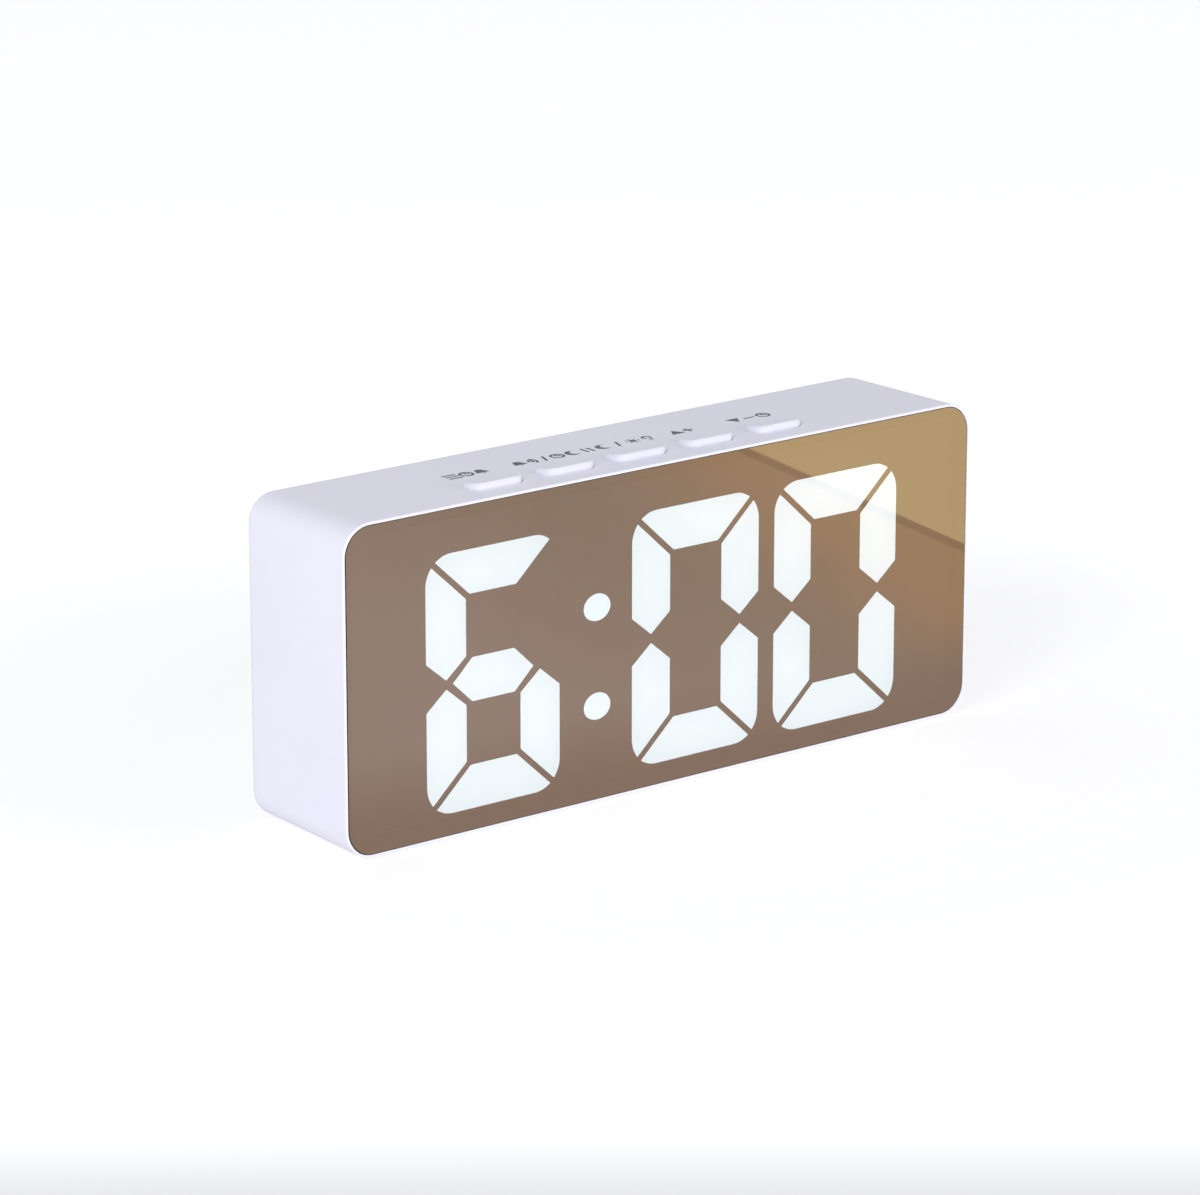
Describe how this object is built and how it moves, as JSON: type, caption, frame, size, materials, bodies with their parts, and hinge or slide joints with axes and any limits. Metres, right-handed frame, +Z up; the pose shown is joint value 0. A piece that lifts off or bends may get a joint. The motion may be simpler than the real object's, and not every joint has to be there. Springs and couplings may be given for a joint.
{
  "type": "digital led desk clock",
  "caption": "Free-standing LED desk clock: slim white case, bronze mirror face with lit bar digits, push keys on top, battery door and power inlet at the back.",
  "frame": {"origin": "middle of the footprint, on the surface that the rubber feet stand on", "axes": "+X along the face to the right as seen from the front, +Y from the face to the back, +Z up; the face looks along -Y"},
  "size_m": [0.16, 0.0336, 0.0695],
  "materials": {
    "white_shell": "fine satin moulding",
    "mirror_acrylic": "bronze half-mirror",
    "black_tape": "foam tape",
    "black_moulding": "matte moulding",
    "white_moulding": "matte moulding",
    "lit_guide": "milky, lit from behind",
    "milky_guide": "milky",
    "circuit_board": "solder resist",
    "led_resin": "resin",
    "zinc_steel": "zinc plated",
    "chip_black": "moulded epoxy",
    "plunger_black": "moulded",
    "can_metal": "pressed tin",
    "gold_pin": "plated",
    "cell_wrap": "printed sleeve, bare",
    "nickel_plate": "nickel plated",
    "red_lead": "insulated wire",
    "black_lead": "insulated wire",
    "foot_rubber": "matte"
  },
  "bodies": {
    "case": {"aaa_cells": "cell_wrap", "battery_contacts": "nickel_plate", "battery_lead_black": "black_lead", "battery_lead_red": "red_lead", "battery_springs": "nickel_plate", "buzzer": "chip_black", "case_screws": "zinc_steel", "clock_crystal": "can_metal", "colon_guides": "lit_guide", "controller_chip": "chip_black", "display_board": "circuit_board", "display_leds": "led_resin", "filter_capacitor": "can_metal", "header_pins": "gold_pin", "hours_digit_guides": "lit_guide", "housing": "white_shell", "key_board": "circuit_board", "key_header": "chip_black", "lens_tape": "black_tape", "mask_frame": "black_moulding", "minutes_digit_guides": "lit_guide", "mirror_lens": "mirror_acrylic", "power_board": "circuit_board", "power_lead_black": "black_lead", "power_lead_red": "red_lead", "rubber_feet": "foot_rubber", "segment_reflector": "white_moulding", "tact_switches": "chip_black", "tens_digit_guides": "lit_guide", "unlit_guides": "milky_guide", "usb_socket": "can_metal", "usb_tongue": "chip_black"},
    "door": {"battery_door": "white_shell"},
    "mode_button": {"mode_key": "white_shell", "mode_plunger": "plunger_black"},
    "alarm_button": {"alarm_key": "white_shell", "alarm_plunger": "plunger_black"},
    "snooze_button": {"snooze_key": "white_shell", "snooze_plunger": "plunger_black"},
    "up_button": {"up_key": "white_shell", "up_plunger": "plunger_black"},
    "down_button": {"down_key": "white_shell", "down_plunger": "plunger_black"}
  },
  "joints": [
    {"name": "mode_press", "type": "slide", "parent": "case", "child": "mode_button", "axis": [0, 0, -1], "range_m": [0, 0.0005], "stiffness_N_per_m": 2500},
    {"name": "alarm_press", "type": "slide", "parent": "case", "child": "alarm_button", "axis": [0, 0, -1], "range_m": [0, 0.0005], "stiffness_N_per_m": 2500},
    {"name": "snooze_press", "type": "slide", "parent": "case", "child": "snooze_button", "axis": [0, 0, -1], "range_m": [0, 0.0005], "stiffness_N_per_m": 2500},
    {"name": "up_press", "type": "slide", "parent": "case", "child": "up_button", "axis": [0, 0, -1], "range_m": [0, 0.0005], "stiffness_N_per_m": 2500},
    {"name": "down_press", "type": "slide", "parent": "case", "child": "down_button", "axis": [0, 0, -1], "range_m": [0, 0.0005], "stiffness_N_per_m": 2500},
    {"name": "door_hinge", "type": "hinge", "parent": "case", "child": "door", "pos_m": [-0.012, 0.01605, 0.0153], "axis": [-1, 0, 0], "range_deg": [0, 50]}
  ]
}
